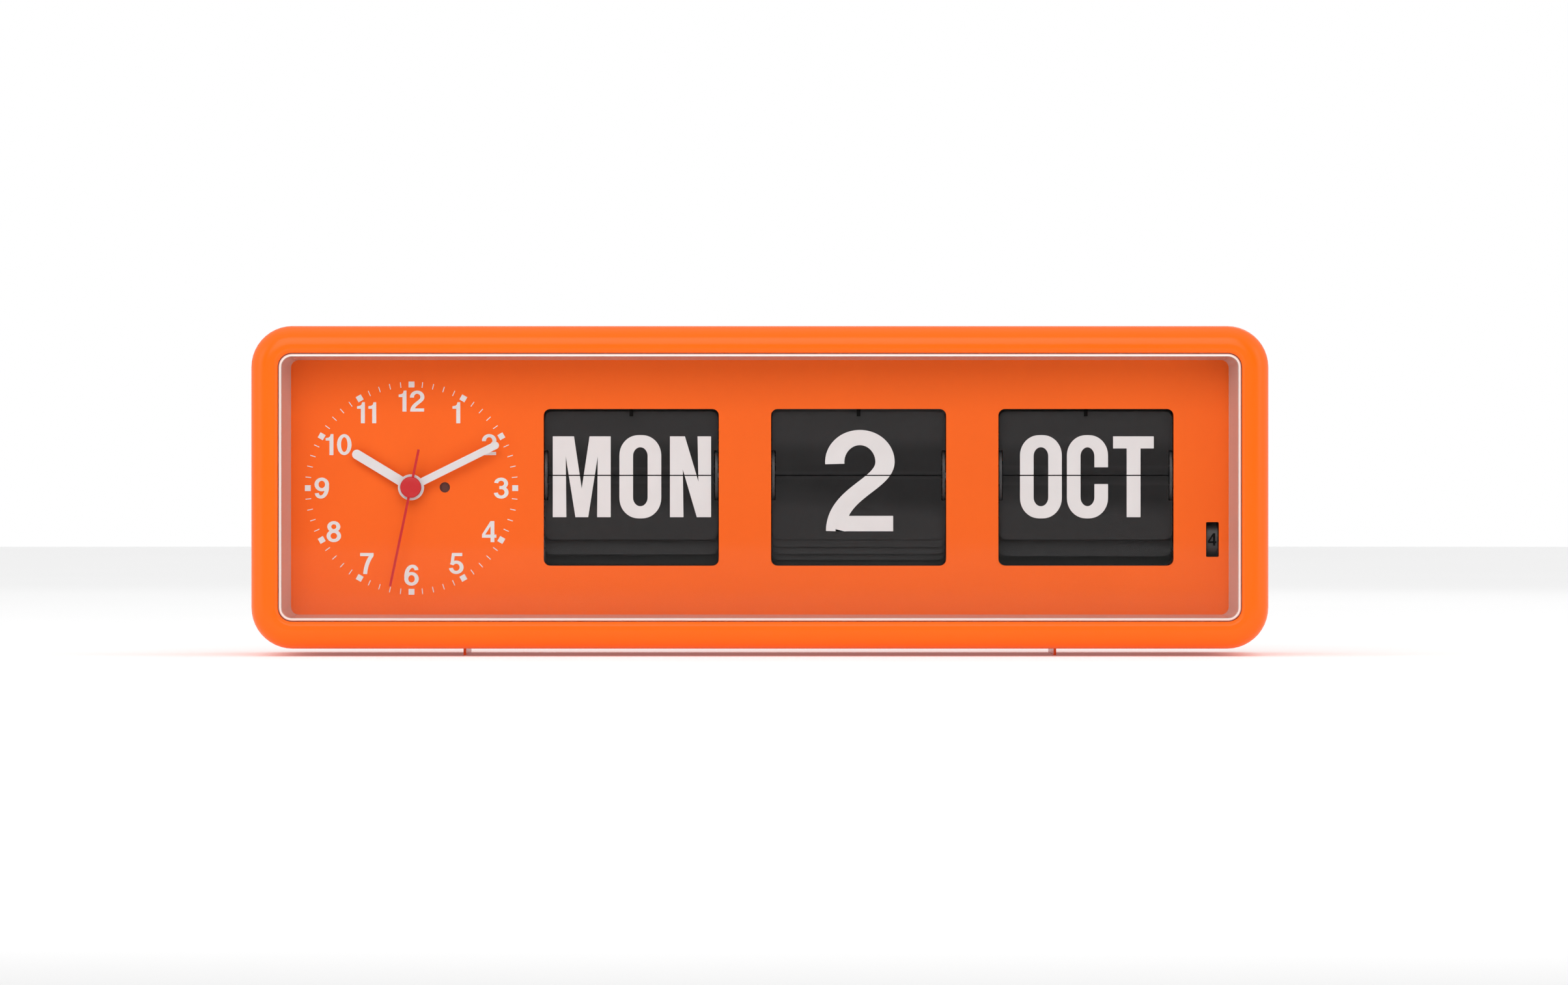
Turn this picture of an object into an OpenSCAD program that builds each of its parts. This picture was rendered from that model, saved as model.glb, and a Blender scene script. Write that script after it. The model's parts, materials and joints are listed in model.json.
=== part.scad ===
// Flip-card calendar clock with an analogue dial, in millimetres.
// Front is -Y, up is +Z, and the origin is on the floor under the middle of the case.

/* [Case] */
// Overall width of the case
case_w = 380; // [376:1:390]
// Height of the case without its feet
case_h = 120.6; // [119:0.2:126]
// Overall depth, front bezel to rear cover
case_d = 90; // [90:1:94]
// Outer corner radius seen from the front
corner_r = 15.4; // [15:0.2:17]
// Width of the bezel around the lens
bezel_w = 10.2; // [9.8:0.1:10.4]
// Thickness of the case walls
wall = 2.4; // [2:0.1:2.6]
// Height of the runner feet
foot_h = 2.6; // [2:0.1:4]
// Distance of each runner foot from the middle
foot_x = 110.5; // [90:0.5:140]

/* [Dial plate] */
// Distance of the clock dial's centre from the middle, to the left
dial_left = 130.85; // [128:0.05:132]
// Width of each flap window
window_w = 65.8; // [65:0.1:66.4]
// Height of each flap window
window_h = 58.9; // [58:0.1:60]
// Distance between neighbouring flap windows
window_pitch = 85.4; // [84:0.1:86]
// Height of the flaps' split line above the case's middle
split_up = 4.48; // [4:0.02:4.9]

/* [Hands] */
// Length of the hour hand
hour_hand_l = 25.6; // [20:0.2:28]
// Length of the minute hand
minute_hand_l = 36.7; // [30:0.1:38]
// Length of the second hand
second_hand_l = 38; // [30:0.1:39]
// Hour hand at rest, degrees clockwise from twelve
hour_hand_at = 301.2; // [0:0.1:360]
// Minute hand at rest, degrees clockwise from twelve
minute_hand_at = 63.6; // [0:0.1:360]
// Second hand at rest, degrees clockwise from twelve
second_hand_at = 191.8; // [0:0.1:360]

/* [Flap drums] */
// Radius of the circle of flap pins
pin_circle = 14; // [13.6:0.1:14.2]
// Height of one flap card
flap_h = 23.9; // [23:0.1:24]
// Thickness of one flap card
flap_t = 0.4; // [0.3:0.05:0.4]
// Gap between the flaps at the split line
split_gap = 0.37; // [0.3:0.01:0.5]

/* [Hidden] */
$fn = 64;

// Colours
ORANGE = [1, 0.42, 0.02];
DIAL = [0.96, 0.42, 0.16];
FLAP = [0.19, 0.19, 0.19];
DARK = [0.12, 0.12, 0.13];
WHITE = [0.9, 0.91, 0.92];
STEEL = [0.7, 0.71, 0.73];
BRASS = [0.8, 0.66, 0.35];
RED = [0.8, 0.18, 0.2];
GREY = [0.55, 0.56, 0.58];
COPPER = [0.72, 0.42, 0.25];
GREEN = [0.1, 0.35, 0.22];
NYLON = [0.86, 0.85, 0.8];
CLEAR = [0.95, 0.97, 1, 0.3];

// Case
mid_z = foot_h + case_h / 2;
front_y = -case_d / 2;
back_y = case_d / 2;
corner_x = case_w / 2 - corner_r;
corner_z = case_h / 2 - corner_r;
cover_seam = -38;
bezel_round = 7;
bezel_back = 41.6;
flange_back = 40;
dial_front_y = -20.6;
dial_back_y = -19.1;
dial_x = -dial_left;
screw_out = 6.8;
screw_boss_end = 33.5;

// Rear openings: the knob's dish, the battery hatch, the button dishes and the keyholes
knob_z = mid_z + 12;
knob_dish_r = 11;
hatch = [68, 36];
hatch_z = 40;
button_z = 104;
button_dish_r = 7;
dish_floor_y = 37.5;
dish_floor_t = 1.5;
keyhole_x = 95;
keyhole_z = 98;
keyhole_r = 4.5;
label_at = [22, 50];
mark_depth = 0.5;

// Movement
lay_hour = [-15.6, -14.8];
lay_minute = [-13.8, -13.0];
lay_plate = [-12.6, -12.1];
lay_centre = [-11.9, -11.2];
lay_third = [-10.4, -9.8];
lay_second = [-8.8, -8.2];
lay_inter = [-7.4, -6.8];
lay_stator = [-6.0, -5.2];
case_front_y = [-17.6, -16.4];
case_back_y = [-4.2, -3.0];
motion_mod = 0.25;
hour_mod = 6 * 2 / 50;
train_c = 7.2;
inter_mod = 0.21;
rotor_mod = 0.2;
minute_dir = 90;
third_dir = 215;
inter_dir = 325;
rotor_dir = 340;
hub = [0, 0];
minute_at = 6 * [cos(minute_dir), sin(minute_dir)];
knob_at = 2 * minute_at;
third_at = train_c * [cos(third_dir), sin(third_dir)];
inter_at = 35 * inter_mod * [cos(inter_dir), sin(inter_dir)];
rotor_at = inter_at + 30 * rotor_mod * [cos(rotor_dir), sin(rotor_dir)];
coil_at = [9, -19];
hour_hand_y = -24.2;
minute_hand_y = -26.2;
second_hand_y = -28.2;
hand_t = 0.8;

// Calendar
axis_y = -4;
split_z = mid_z + split_up;
weekday_x = -48.3;
date_x = weekday_x + window_pitch;
month_x = weekday_x + 2 * window_pitch;
MODULES = [weekday_x, date_x, month_x];
COUNTS = [14, 31, 12];
LOWERS = [2, 3, 2];
flap_half = 32.6;
neck_half = 31.2;
neck_h = 9.2;
flap_corner = 2.9;
pin_r = 0.36;
pin_hole_r = 0.42;
disc_in = 31.5;
disc_out = 32.5;
disc_r = 15.5;
shaft_r = 2;
plate_in = 34.8;
plate_out = 36.3;
ratchet_r = 9.5;
ratchet_root = 8.3;
ratchet = [-33.8, -32.8];
last_plate = [month_x + 37.1, month_x + 38.6];
leap_x = 170;
leap_y = -9.6;
leap_z = mid_z - 19.6;
leap_r = 9;
leap_mod = 0.56;
drum_gear_x = [month_x + 33.2, month_x + 34.6];
leap_gear_x = [month_x + 35, month_x + 36.4];
leap_span = [leap_y - axis_y, leap_z - split_z];
leap_dist = norm(leap_span);
leap_along = (pow(30 * leap_mod, 2) - pow(15 * leap_mod, 2) + pow(leap_dist, 2)) / (2 * leap_dist);
leap_off = sqrt(pow(30 * leap_mod, 2) - pow(leap_along, 2));
idler_at = [axis_y, split_z] + leap_along * leap_span / leap_dist
    + leap_off * [-leap_span[1], leap_span[0]] / leap_dist;
rocker_y = 6;
rocker_z = 106;
rocker_r = 1.5;

// Extrudes an outline in (x, z) from depth y0 back to depth y1.
module deep(y0, y1) {
    translate([0, y1, 0]) rotate([90, 0, 0]) linear_extrude(y1 - y0) children();
}

// Extrudes an outline in (y, z) along X from x0 to x1.
module across(x0, x1) {
    translate([x0, 0, 0]) rotate([90, 0, 90]) linear_extrude(x1 - x0) children();
}

// A rectangle with round corners, centred.
module rounded(w, h, r) {
    square([w - 2 * r, h], center = true);
    square([w, h - 2 * r], center = true);
    for (x = [-1, 1], y = [-1, 1])
        translate([x * (w / 2 - r), y * (h / 2 - r)]) circle(r);
}

// Sweeps a profile once around the case. The profile's x runs outward from the line through the
// corner centres, and its y runs towards the front.
module around_case() {
    translate([0, 0, mid_z]) rotate([90, 0, 0])
        for (k = [0:3]) {
            straight = k % 2 == 0 ? corner_z : corner_x;
            out = k % 2 == 0 ? corner_x : corner_z;
            rotate([0, 0, 90 * k]) translate([out, straight, 0]) rotate([90, 0, 0])
                linear_extrude(2 * straight) children();
            rotate([0, 0, 90 * k]) translate([out, straight, 0])
                rotate_extrude(angle = 90) children();
        }
}

// The four corners of the case, at one distance outward from each corner centre.
module at_corners(out) {
    for (x = [-1, 1], z = [-1, 1])
        translate([x * (corner_x + out), 0, mid_z + z * (corner_z + out)]) children();
}

// Quarter of a disc, towards +x and +y.
module quarter(r) {
    intersection() {
        circle(r);
        square(r + 1);
    }
}

// ---------------------------------------------------------------- case

module housing_profile() {
    inner = corner_r - bezel_w;
    lip_round = 1.8;
    front = case_d / 2;
    difference() {
        union() {
            translate([corner_r - wall, cover_seam]) square([wall, front - bezel_round - cover_seam]);
            translate([corner_r - bezel_round, front - bezel_round]) quarter(bezel_round);
            translate([inner + lip_round, front - bezel_round])
                square([corner_r - bezel_round - inner - lip_round, bezel_round]);
            translate([inner, front - bezel_round]) square([lip_round, bezel_round - lip_round]);
            translate([inner + lip_round, front - lip_round]) mirror([1, 0]) quarter(lip_round);
        }
        polygon([
            [inner - 1, 30], [inner - 1, bezel_back], [corner_r - 6.2, bezel_back],
            [corner_r - wall, 37.5], [corner_r - wall, 30]]);
    }
}

module housing() color(ORANGE) {
    around_case() housing_profile();
    difference() {
        at_corners(screw_out) deep(dial_back_y, screw_boss_end) circle(3.6);
        at_corners(screw_out) deep(18, screw_boss_end + 1) circle(1);
    }
}

module cover_profile() {
    edge_round = 3.5;
    back = -case_d / 2;
    translate([corner_r - wall - 1.8, cover_seam - 4.8]) square([1.6, 8.8]);
    translate([0, back]) square([corner_r - edge_round, 2.2]);
    translate([corner_r - wall - 0.2, back + edge_round])
        square([wall + 0.2, -back + cover_seam - edge_round]);
    translate([corner_r - edge_round, back + edge_round]) mirror([0, 1]) quarter(edge_round);
    translate([corner_r - wall - 1.8, back]) square([wall + 1.8 - edge_round, 5]);
}

// A round dish in the rear cover: its wall and floor.
module dish(r, floor_y) {
    deep(floor_y, back_y - 0.5) difference() {
        circle(r + 1.5);
        circle(r);
    }
    deep(floor_y, floor_y + dish_floor_t) circle(r + 1);
}

// Shallow marks in the cover's back: a panel for a label and an arrow round the knob.
module engraved_marks() {
    translate([label_at[0], 0, label_at[1]]) deep(back_y - mark_depth, back_y + 1) rounded(130, 36, 3);
    translate([dial_x, 0, knob_z]) deep(back_y - mark_depth, back_y + 1) {
        intersection() {
            difference() {
                circle(15);
                circle(14);
            }
            polygon([[0, 0], [20, 12], [20, 20], [-20, 20], [-20, 12]]);
        }
        translate(polar(14.5, 31)) rotate(31) polygon([[-2, 0], [2, 0], [0, -3.6]]);
    }
}

module rear_cover() color(ORANGE) {
    difference() {
        union() {
            around_case() cover_profile();
            translate([0, 0, mid_z]) deep(back_y - 2.2, back_y)
                square([2 * corner_x, 2 * corner_z], center = true);
            at_corners(screw_out) deep(screw_boss_end, back_y - 1) circle(3.2);
        }
        translate([dial_x, 0, knob_z]) deep(30, 50) circle(knob_dish_r);
        for (x = MODULES) translate([x, 0, button_z]) deep(30, 50) circle(button_dish_r);
        translate([dial_x, 0, hatch_z]) deep(30, 50) square(hatch, center = true);
        for (x = [-1, 1]) translate([x * keyhole_x, 0, keyhole_z]) deep(30, 50) {
            circle(keyhole_r);
            translate([-2.2, 0]) square([4.4, 9]);
            translate([0, 9]) circle(2.2);
        }
        at_corners(screw_out) deep(30, 50) circle(1.1);
        at_corners(screw_out) deep(43.6, 50) circle(2.4);
        engraved_marks();
    }
    difference() {
        union() {
            translate([dial_x, 0, knob_z]) dish(knob_dish_r, dish_floor_y);
            for (x = MODULES) translate([x, 0, button_z]) dish(button_dish_r, dish_floor_y);
        }
        translate([dial_x, 0, knob_z]) deep(30, 50) circle(1.3);
        for (x = MODULES) translate([x, 0, button_z]) deep(30, 50) circle(2.1);
    }
}

module lens_profile() {
    edge_round = 0.9;
    edge = corner_r - bezel_w - 0.25;
    front = case_d / 2 - 1;
    translate([0, front - 1.6]) square([edge - edge_round, 1.6]);
    translate([edge - edge_round, front - 2.6]) square([edge_round, 2.6 - edge_round]);
    translate([edge - edge_round, front - edge_round]) quarter(edge_round);
    translate([2.8, flange_back]) square([6.2, bezel_back - flange_back]);
    polygon([[3.6, front - 1.2], [2.9, -dial_front_y], [4.3, -dial_front_y], [edge, flange_back],
        [edge, front - 1.2]]);
}

module lens() color(CLEAR) {
    around_case() lens_profile();
    translate([0, 0, mid_z]) deep(front_y + 1, front_y + 2.6)
        square([2 * corner_x, 2 * corner_z], center = true);
}

module dial_plate() color(DIAL) deep(dial_front_y, dial_back_y) translate([0, mid_z]) difference() {
    rounded(case_w - 2 * wall - 0.4, case_h - 2 * wall - 0.4, corner_r - wall - 0.2);
    for (x = MODULES) translate([x, 0]) rounded(window_w, window_h, 2.5);
    translate([leap_x, leap_z - mid_z]) rounded(4.8, 13.1, 0.5);
    translate([dial_x, 0]) circle(2.2);
    translate([dial_x + 12.5, 0]) circle(1.95);
}

module feet() color(ORANGE) for (x = [-1, 1])
    translate([x * foot_x - 0.5, -30, 0]) cube([1, 60, foot_h]);

module case_screws() color(STEEL) at_corners(screw_out) {
    deep(20, 43.6) circle(1);
    difference() {
        deep(43.6, 44.9) circle(2.2);
        deep(44.2, 45.5) square([0.6, 3.4], center = true);
        deep(44.2, 45.5) square([3.4, 0.6], center = true);
    }
}

// ---------------------------------------------------------------- battery

cell_r = 16.6;
cell_l = 59;
cell_y = 20.5;
box_front = 2.4;

module battery_box() color(DARK) translate([dial_x, 0, hatch_z]) difference() {
    deep(box_front, 42.8) square([hatch[0] + 7, hatch[1] + 1.6], center = true);
    deep(box_front + 1.5, 43) square([hatch[0] + 4, hatch[1] - 1.6], center = true);
}

module battery_cell() color(COPPER) translate([dial_x - 2, cell_y, hatch_z]) rotate([0, 90, 0]) {
    translate([0, 0, -cell_l / 2]) cylinder(h = cell_l, r = cell_r);
    translate([0, 0, cell_l / 2]) cylinder(h = 1.6, r = 4.7);
}

module battery_contacts() color(STEEL) translate([dial_x, cell_y, hatch_z]) {
    translate([hatch[0] / 2 + 1.2, -8, -12]) cube([0.8, 16, 24]);
    translate([29.1, 0, 0]) rotate([0, 90, 0]) cylinder(h = 6.1, r = 4.5);
    translate([-hatch[0] / 2 - 2, -8, -12]) cube([0.8, 16, 24]);
    for (i = [0:4]) translate([-35.2 + i * 0.75, 0, 0]) rotate([0, 90, 0])
        rotate_extrude() translate([4 + i * 0.5, 0]) circle(0.37, $fn = 16);
}

module battery_door() color(ORANGE) translate([dial_x, 0, hatch_z]) {
    difference() {
        deep(back_y - 2, back_y) rounded(hatch[0] - 0.6, hatch[1] - 0.6, 1);
        for (i = [-2:2]) translate([0, 0, 13 + i * 1.2]) deep(back_y - 0.5, back_y + 1)
            square([16, 0.6], center = true);
    }
    for (x = [-1, 1]) translate([x * 20, 0, -hatch[1] / 2 + 2.2]) deep(back_y - 6.5, back_y - 2)
        square([8, 1.4], center = true);
    translate([0, 0, hatch[1] / 2 - 2.4]) deep(back_y - 6.5, back_y - 2) square([10, 1.4], center = true);
}

// ---------------------------------------------------------------- movement

// A point on a gear outline, at a radius and an angle.
function polar(r, a) = [r * cos(a), r * sin(a)];
function inv_deg(r, rb) = tan(acos(rb / r)) * 180 / PI - acos(rb / r);

// Gear outline with n teeth of module m, tooth 0 towards angle `turn`. The flanks are involutes of
// 25 degrees pressure angle, thinned by `play` at the pitch circle.
module gear(n, m, turn = 0, play = 0.06) {
    rp = n * m / 2;
    rb = rp * cos(25);
    ra = rp + 0.75 * m;
    rf = rp - m;
    half = 90 / n - play / 2 / rp * 180 / PI;
    at_base = half + inv_deg(rp, rb);
    at_root = at_base - inv_deg(max(rf, rb), rb);
    at_tip = at_base - inv_deg(ra, rb);
    polygon([for (i = [0:n - 1]) each [
        polar(rf, turn + 360 * i / n - at_root),
        polar(rp, turn + 360 * i / n - half),
        polar(ra, turn + 360 * i / n - at_tip),
        polar(ra, turn + 360 * i / n + at_tip),
        polar(rp, turn + 360 * i / n + half),
        polar(rf, turn + 360 * i / n + at_root)]]);
}

// Turn of a gear with nb teeth that puts it in mesh with a gear of na teeth turned by ta, where
// `dir` points from the first gear to the second.
function mesh(ta, na, nb, dir) = dir + 180 - (0.5 - (dir - ta) * na / 360) * 360 / nb;

minute_turn = 90 - minute_hand_at;
hour_turn = 90 - hour_hand_at;
second_turn = 90 - second_hand_at;
minute_wheel_turn = mesh(minute_turn, 12, 36, minute_dir);
minute_pinion_turn = mesh(hour_turn, 40, 10, minute_dir);
knob_turn = mesh(minute_wheel_turn, 36, 12, minute_dir);
third_turn = mesh(second_turn, 8, 60, third_dir);
centre_turn = mesh(third_turn, 8, 64, third_dir + 180);
inter_turn = mesh(second_turn, 60, 10, inter_dir);
rotor_turn = mesh(inter_turn, 50, 10, rotor_dir);

module at_hub() { translate([dial_x, 0, mid_z]) children(); }
module at_arbor(p) { translate([dial_x + p[0], 0, mid_z + p[1]]) children(); }

// A wheel or pinion on one layer, with its bore.
module wheel(layer, n, m, turn, bore = 0) {
    deep(layer[0], layer[1]) difference() {
        gear(n, m, turn);
        if (bore > 0) circle(bore);
    }
}

module movement_case_front() color(DARK) at_hub() {
    difference() {
        union() {
            deep(case_front_y[0], case_front_y[1]) rounded(58, 58, 4);
            deep(dial_back_y, case_front_y[0]) for (x = [-1, 1], z = [-1, 1])
                translate([24 * x, 24 * z]) circle(3);
        }
        deep(-20, -10) circle(1.65);
    }
    translate([minute_at[0], 0, minute_at[1]]) deep(case_front_y[1], lay_plate[0] - 0.1) circle(0.5);
}

module movement_case_rear() color(DARK) difference() {
    union() {
        at_hub() difference() {
            deep(case_front_y[1], case_back_y[1]) rounded(58, 58, 4);
            deep(case_front_y[1] - 1, case_back_y[0]) rounded(55.6, 55.6, 2.8);
        }
        at_hub() for (x = [-1, 1], z = [-1, 1]) translate([22 * x, 0, 22 * z])
            deep(lay_plate[1], case_back_y[0]) circle(2);
    }
    for (p = [hub, third_at, inter_at, rotor_at]) at_arbor(p) deep(-4.5, -3.6) circle(0.45);
    at_arbor(knob_at) deep(-6, 0) circle(1.05);
}

module train_plate() color(NYLON) deep(lay_plate[0], lay_plate[1]) translate([dial_x, mid_z]) difference() {
    rounded(50, 50, 4);
    circle(1.06);
    translate(knob_at) circle(1.05);
    for (p = [third_at, inter_at, rotor_at]) translate(p) circle(0.45);
}

module circuit_board() color(GREEN) at_hub() {
    translate([-18, 0, 2]) deep(-7.6, -6.6) rounded(15, 34, 1);
    translate([-18, 0, 10]) deep(-8.8, -7.6) square([6, 6], center = true);
    translate([-18, 0, -4]) deep(-10.2, -7.6) circle(1.5);
}

module coil() color(COPPER) at_hub() translate([coil_at[0], -7.4, coil_at[1]]) difference() {
    rotate([0, 90, 0]) translate([0, 0, -8.2]) cylinder(h = 16.4, r = 3);
    cube([20, 1.6, 1.6], center = true);
}

module stator() color(STEEL) at_hub() {
    difference() {
        deep(lay_stator[0], lay_stator[1]) difference() {
            union() {
                translate([rotor_at[0], rotor_at[1]]) circle(4.6);
                translate([-3, coil_at[1] - 0.7]) square([3.6, 7]);
                translate([17.4, coil_at[1] - 0.7]) square([3.6, 15]);
                translate([-3, rotor_at[1] - 7]) square([12, 3.4]);
                translate([12, rotor_at[1] - 3]) square([9, 3.6]);
            }
            translate([rotor_at[0], rotor_at[1]]) circle(2.3);
        }
    }
    translate([coil_at[0], -7.4, coil_at[1]]) cube([22.6, 1.4, 1.4], center = true);
    for (x = [-2.3, 18.9]) translate([x, -6.75, coil_at[1] - 0.7]) cube([1.4, 1, 1.4]);
}

module rotor() color(DARK) at_arbor(rotor_at) {
    deep(lay_stator[0] - 0.2, lay_stator[1] + 0.2) circle(1.8);
    wheel(lay_inter, 10, rotor_mod, rotor_turn);
    deep(-12.4, -3.7) circle(0.4);
}

module intermediate_wheel() color(NYLON) at_arbor(inter_at) {
    wheel(lay_inter, 50, rotor_mod, inter_turn);
    wheel(lay_second, 10, inter_mod, inter_turn);
    deep(-12.4, -3.7) circle(0.4);
}

module second_wheel() color(NYLON) at_hub() {
    wheel(lay_second, 60, inter_mod, second_turn);
    wheel(lay_third, 8, train_c / 34, second_turn);
    deep(second_hand_y, -3.7) circle(0.4);
}

module third_wheel() color(NYLON) at_arbor(third_at) {
    wheel(lay_third, 60, train_c / 34, third_turn);
    wheel(lay_centre, 8, train_c / 36, third_turn);
    deep(-12.4, -3.7) circle(0.4);
}

module centre_wheel() color(BRASS) at_hub() wheel(lay_centre, 64, train_c / 36, centre_turn, 1.03);

module cannon_pinion() color(BRASS) at_hub() {
    wheel(lay_minute, 12, motion_mod, minute_turn, 0.45);
    difference() {
        deep(minute_hand_y, lay_centre[1] + 0.3) circle(1);
        deep(minute_hand_y - 1, lay_centre[1] + 1) circle(0.45);
    }
}

module minute_wheel() color(NYLON) at_arbor(minute_at) {
    wheel(lay_minute, 36, motion_mod, minute_wheel_turn, 0.55);
    wheel([lay_hour[0], lay_minute[0]], 10, hour_mod, minute_pinion_turn, 0.55);
}

module hour_wheel() color(NYLON) at_hub() {
    wheel(lay_hour, 40, hour_mod, hour_turn, 1.05);
    difference() {
        deep(hour_hand_y, lay_hour[1]) circle(1.6);
        deep(hour_hand_y - 1, lay_hour[1] + 1) circle(1.05);
    }
}

module time_set_knob() color(DARK) at_arbor(knob_at) {
    wheel(lay_minute, 12, motion_mod, knob_turn);
    deep(-13.6, 40) circle(1);
    difference() {
        deep(39.8, 44.6) circle(9);
        for (a = [0:15:345]) rotate([0, -a, 0]) translate([9.4, 0, 0]) deep(39, 45) circle(0.8, $fn = 16);
    }
}

module am_pm_disc() color([0.4, 0.2, 0.17]) at_hub() deep(-18.7, -18.2) difference() {
    circle(15.5);
    circle(1.68);
}

// ---------------------------------------------------------------- hands

// A round-ended bar from the hub towards a clock angle, with an eye around the arbor.
module hand(y, length, width, at, eye_r, bore) {
    at_hub() deep(y, y + hand_t) rotate(90 - at) difference() {
        union() {
            circle(eye_r);
            translate([0, -width / 2]) square([length - width / 2, width]);
            translate([length - width / 2, 0]) circle(width / 2);
        }
        circle(bore);
    }
}

module hour_hand() color(WHITE) hand(hour_hand_y, hour_hand_l, 3.6, hour_hand_at, 4.87, 1.6);

module minute_hand() color(WHITE) hand(minute_hand_y, minute_hand_l, 2.8, minute_hand_at, 4.87, 1);

module second_hand() color(RED) {
    hand(second_hand_y, second_hand_l, 0.9, second_hand_at, 3.94, 0.4);
    at_hub() deep(second_hand_y, second_hand_y + hand_t) rotate(270 - second_hand_at) difference() {
        translate([0, -0.45]) square([14.5, 0.9]);
        circle(1);
    }
}

// ---------------------------------------------------------------- calendar

module calendar_frame() color(GREY) {
    difference() {
        union() {
            for (x = MODULES, s = [-1, 1]) if (x != month_x || s < 0)
                across(x + (s < 0 ? -plate_out : plate_in), x + (s < 0 ? -plate_in : plate_out))
                    translate([dial_back_y, 24]) square([44, 86]);
            across(last_plate[0], last_plate[1]) translate([dial_back_y, 24]) square([44, 86]);
            across(weekday_x - plate_in, last_plate[0]) translate([dial_back_y + 4, 24]) square([30, 2]);
            across(weekday_x - plate_in, last_plate[0]) translate([dial_back_y + 0.5, 100.5]) square([3, 6]);
            across(weekday_x - plate_in, last_plate[0]) translate([22, 100]) square([2.9, 6]);
        }
        across(-100, 170) translate([axis_y, split_z]) circle(shaft_r);
        across(-100, 140) translate([rocker_y, rocker_z]) circle(rocker_r + 0.08);
        across(150, 170) translate([leap_y, leap_z]) circle(1.06);
    }
    across(drum_gear_x[0] - 0.2, last_plate[0] + 0.5) translate(idler_at) circle(1);
}

module calendar_shaft() color(STEEL)
    across(weekday_x - plate_out - 0.5, last_plate[1] + 0.5) translate([axis_y, split_z]) circle(shaft_r);

module flap_catches() color(DARK) for (x = MODULES)
    across(x - 0.7, x + 0.7) translate([dial_back_y + 0.1, split_z + 22.2])
        square([0.4, 100.5 - split_z - 22.2 + 2]);

// A flap card hanging on its pins at the origin and standing up, front towards -Y.
module flap(inset) {
    top = flap_h - inset;
    deep(-flap_t / 2, flap_t / 2) {
        translate([-neck_half, -inset]) square([2 * neck_half, neck_h]);
        translate([-flap_half, neck_h - inset]) square([2 * flap_half, flap_h - neck_h - flap_corner]);
        translate([-flap_half + flap_corner, neck_h - inset])
            square([2 * (flap_half - flap_corner), flap_h - neck_h]);
        for (s = [-1, 1]) translate([s * (flap_half - flap_corner), top - flap_corner]) circle(flap_corner);
    }
    for (x = [-disc_out - 0.2, neck_half]) across(x, x + disc_out + 0.2 - neck_half) circle(pin_r, $fn = 24);
}

function step(m) = 360 / COUNTS[m];
function inset(m) = (2 * pin_circle * sin(step(m) / 2) - split_gap) / 2;

// Flap k of register m, counted backwards over the top from the falling flap. Its pin sits
// (k + 1/2) steps above the front. Flaps fan out behind the second one until they hang down.
module placed_flap(m, k) {
    pin = (k + 0.5) * step(m);
    lean = k < 0 ? 180 : max(0, min(180, (k - 1) * step(m)));
    translate([MODULES[m], axis_y - pin_circle * cos(pin), split_z + pin_circle * sin(pin)])
        rotate([-lean, 0, 0]) flap(inset(m));
}

module rear_flaps(m) color(FLAP)
    for (k = [2:COUNTS[m] - LOWERS[m] - 1]) placed_flap(m, k);

// Ratchet outline with n saw teeth.
module ratchet_teeth(n) {
    polygon([for (i = [0:n - 1]) each [
        polar(ratchet_root, 360 * i / n), polar(ratchet_r, 360 * (i + 0.85) / n)]]);
}

module drum(m) color(DARK) translate([MODULES[m], 0, 0]) difference() {
    union() {
        for (s = [-1, 1]) across(s < 0 ? -disc_out : disc_in, s < 0 ? -disc_in : disc_out)
            translate([axis_y, split_z]) circle(disc_r);
        across(-34.4, disc_in) translate([axis_y, split_z]) circle(4);
        across(ratchet[0], ratchet[1]) translate([axis_y, split_z]) ratchet_teeth(COUNTS[m]);
        if (m == 2) across(disc_in, drum_gear_x[0] - month_x) translate([axis_y, split_z]) circle(4);
        if (m == 2) across(drum_gear_x[0] - month_x, drum_gear_x[1] - month_x)
            translate([axis_y, split_z]) gear(20, leap_mod, 0, 0.1);
    }
    across(-40, 40) translate([axis_y, split_z]) circle(shaft_r + 0.06);
    for (k = [0:COUNTS[m] - 1]) across(-40, 40)
        translate([axis_y, split_z] + polar(pin_circle, 180 - (k + 0.5) * step(m)))
            circle(pin_hole_r, $fn = 24);
}

// One leaf spring beside each ratchet, standing on the frame's floor.
module detent_springs() color(STEEL) for (x = MODULES)
    across(x + ratchet[0] + 0.1, x + ratchet[1] - 0.1)
        translate([axis_y + ratchet_r + 0.3, 26]) square([0.3, split_z - 26 + 3]);

module advance_rocker() color(GREY) {
    across(dial_x + 6, date_x - 30) translate([rocker_y, rocker_z]) circle(rocker_r);
    across(dial_x + 8, dial_x + 11) difference() {
        translate([rocker_y - 24.5, rocker_z - 1.5]) square([24.5, 3]);
        translate([rocker_y, rocker_z]) circle(rocker_r - 0.2);
    }
    across(date_x + ratchet[0], date_x + ratchet[1]) difference() {
        translate([rocker_y - 1.5, split_z + 14]) square([3, rocker_z - split_z - 14]);
        translate([rocker_y, rocker_z]) circle(rocker_r - 0.2);
    }
}

module set_button(x) color(DARK) translate([x, 0, button_z]) {
    deep(42.4, 44.8) circle(5);
    deep(28, 42.4) circle(2);
    deep(dish_floor_y - 1.4, dish_floor_y - 0.2) circle(3.4);
}

// Cone-shaped springs, whose turns drop inside each other when a button is pressed.
module button_springs() color(STEEL) for (x = MODULES) translate([x, 0, button_z])
    for (i = [0:3]) translate([0, 39.35 + i * 0.9, 0]) rotate([90, 0, 0])
        rotate_extrude() translate([4.4 - i * 0.6, 0]) circle(0.25, $fn = 16);

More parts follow.
